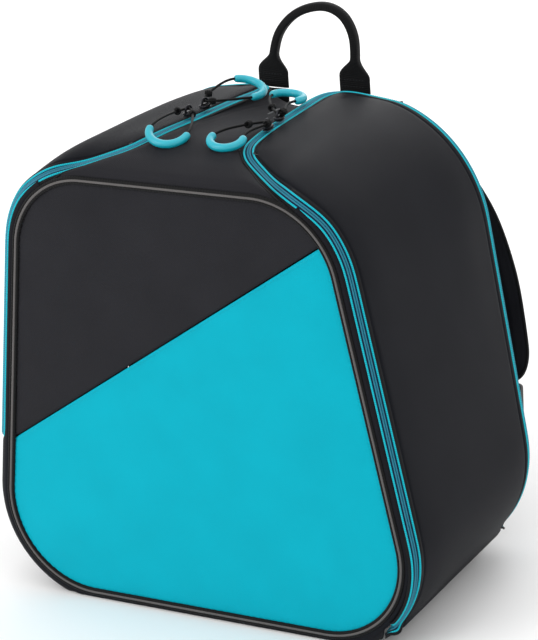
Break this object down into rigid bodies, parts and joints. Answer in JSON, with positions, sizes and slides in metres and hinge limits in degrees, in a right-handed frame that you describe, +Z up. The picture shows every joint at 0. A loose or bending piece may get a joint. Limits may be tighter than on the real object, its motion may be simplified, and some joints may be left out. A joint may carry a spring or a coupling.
{
  "type": "ski boot bag",
  "caption": "Soft bag for a pair of ski boots, with a zipped side compartment for each boot, padded shoulder straps and a carrying handle on top.",
  "frame": {"origin": "on the ground under the middle of the bag's flat base", "axes": "+Z up, -Y out of the coloured front panel, +X towards the viewer's right when facing the front"},
  "size_m": [0.3734, 0.2939, 0.4254],
  "materials": {
    "front_fabric": "matt",
    "teal_fabric": "matt",
    "side_fabric": "satin",
    "base_fabric": "matt",
    "back_mesh": "matt",
    "lining": "matt",
    "reflective_piping": "satin",
    "back_binding": "satin",
    "zip_tape": "matt",
    "zip_teeth": "satin",
    "slider_metal": "gloss",
    "pull_cord": "matt",
    "pull_sleeve": "satin",
    "webbing": "matt",
    "buckle_plastic": "satin"
  },
  "bodies": {
    "bag_body": {"back_panel": "back_mesh", "back_piping": "back_binding", "base_panel": "base_fabric", "centre_divider": "lining", "front_border": "side_fabric", "front_panel_lower": "teal_fabric", "front_panel_upper": "front_fabric", "front_piping": "reflective_piping", "handle_tab_left": "webbing", "handle_tab_right": "webbing", "left_body_zip_tape": "zip_tape", "left_body_zip_teeth": "zip_teeth", "left_lower_side_panel": "side_fabric", "left_strap_foot_tab": "webbing", "left_strap_top_tab": "webbing", "rear_gusset": "side_fabric", "right_body_zip_tape": "zip_tape", "right_body_zip_teeth": "zip_teeth", "right_strap_foot_tab": "webbing", "right_strap_top_tab": "webbing", "top_strip": "front_fabric"},
    "right_door": {"right_door_panel": "side_fabric", "right_door_zip_tape": "zip_tape", "right_door_zip_teeth": "zip_teeth"},
    "right_front_slider": {"right_front_slider": "slider_metal"},
    "right_front_pull": {"right_front_pull_cord": "pull_cord", "right_front_pull_sleeve": "pull_sleeve"},
    "right_rear_slider": {"right_rear_slider": "slider_metal"},
    "right_rear_pull": {"right_rear_pull_cord": "pull_cord", "right_rear_pull_sleeve": "pull_sleeve"},
    "right_strap": {"right_shoulder_pad": "back_mesh", "right_ladder_lock": "buckle_plastic", "right_strap_webbing": "webbing"},
    "left_door": {"left_door_panel": "side_fabric", "left_door_zip_tape": "zip_tape", "left_door_zip_teeth": "zip_teeth"},
    "left_front_slider": {"left_front_slider": "slider_metal"},
    "left_front_pull": {"left_front_pull_cord": "pull_cord", "left_front_pull_sleeve": "pull_sleeve"},
    "left_rear_slider": {"left_rear_slider": "slider_metal"},
    "left_rear_pull": {"left_rear_pull_cord": "pull_cord", "left_rear_pull_sleeve": "pull_sleeve"},
    "left_strap": {"left_shoulder_pad": "back_mesh", "left_ladder_lock": "buckle_plastic", "left_strap_webbing": "webbing"},
    "carry_handle": {"carry_handle": "webbing"}
  },
  "joints": [
    {"name": "right_door_fold", "type": "hinge", "parent": "bag_body", "child": "right_door", "pos_m": [0.1505, 0, 0.013], "axis": [0, 1, 0], "range_deg": [0, 75]},
    {"name": "left_door_fold", "type": "hinge", "parent": "bag_body", "child": "left_door", "pos_m": [-0.1802, 0, 0.127], "axis": [0, -1, 0], "range_deg": [0, 120]},
    {"name": "carry_handle_swing", "type": "hinge", "parent": "bag_body", "child": "carry_handle", "pos_m": [0, 0.125, 0.355], "axis": [1, 0, 0], "range_deg": [-80, 20]},
    {"name": "right_strap_swing", "type": "hinge", "parent": "bag_body", "child": "right_strap", "pos_m": [0.071, 0.1291, 0.32518], "axis": [0.2724, -0.0788, -0.959], "range_deg": [-25, 25]},
    {"name": "right_front_slider_travel", "type": "slide", "parent": "bag_body", "child": "right_front_slider", "axis": [0.1163, -0.9932, 0], "range_m": [0, 0.033]},
    {"name": "right_front_pull_swing", "type": "hinge", "parent": "right_front_slider", "child": "right_front_pull", "pos_m": [0.03932, -0.014, 0.3738], "axis": [-1, 0, 0], "range_deg": [0, 75]},
    {"name": "right_rear_slider_travel", "type": "slide", "parent": "bag_body", "child": "right_rear_slider", "axis": [-0.1163, 0.9932, 0], "range_m": [0, 0.033]},
    {"name": "right_rear_pull_swing", "type": "hinge", "parent": "right_rear_slider", "child": "right_rear_pull", "pos_m": [0.03674, 0.008, 0.3738], "axis": [1, 0, 0], "range_deg": [0, 75]},
    {"name": "left_strap_swing", "type": "hinge", "parent": "bag_body", "child": "left_strap", "pos_m": [-0.071, 0.1291, 0.32518], "axis": [-0.2724, -0.0788, -0.959], "range_deg": [-25, 25]},
    {"name": "left_front_slider_travel", "type": "slide", "parent": "bag_body", "child": "left_front_slider", "axis": [-0.1163, -0.9932, 0], "range_m": [0, 0.033]},
    {"name": "left_front_pull_swing", "type": "hinge", "parent": "left_front_slider", "child": "left_front_pull", "pos_m": [-0.03768, 0, 0.3738], "axis": [-1, 0, 0], "range_deg": [0, 75]},
    {"name": "left_rear_slider_travel", "type": "slide", "parent": "bag_body", "child": "left_rear_slider", "axis": [0.1163, 0.9932, 0], "range_m": [0, 0.033]},
    {"name": "left_rear_pull_swing", "type": "hinge", "parent": "left_rear_slider", "child": "left_rear_pull", "pos_m": [-0.03534, 0.02, 0.3738], "axis": [1, 0, 0], "range_deg": [0, 75]}
  ]
}
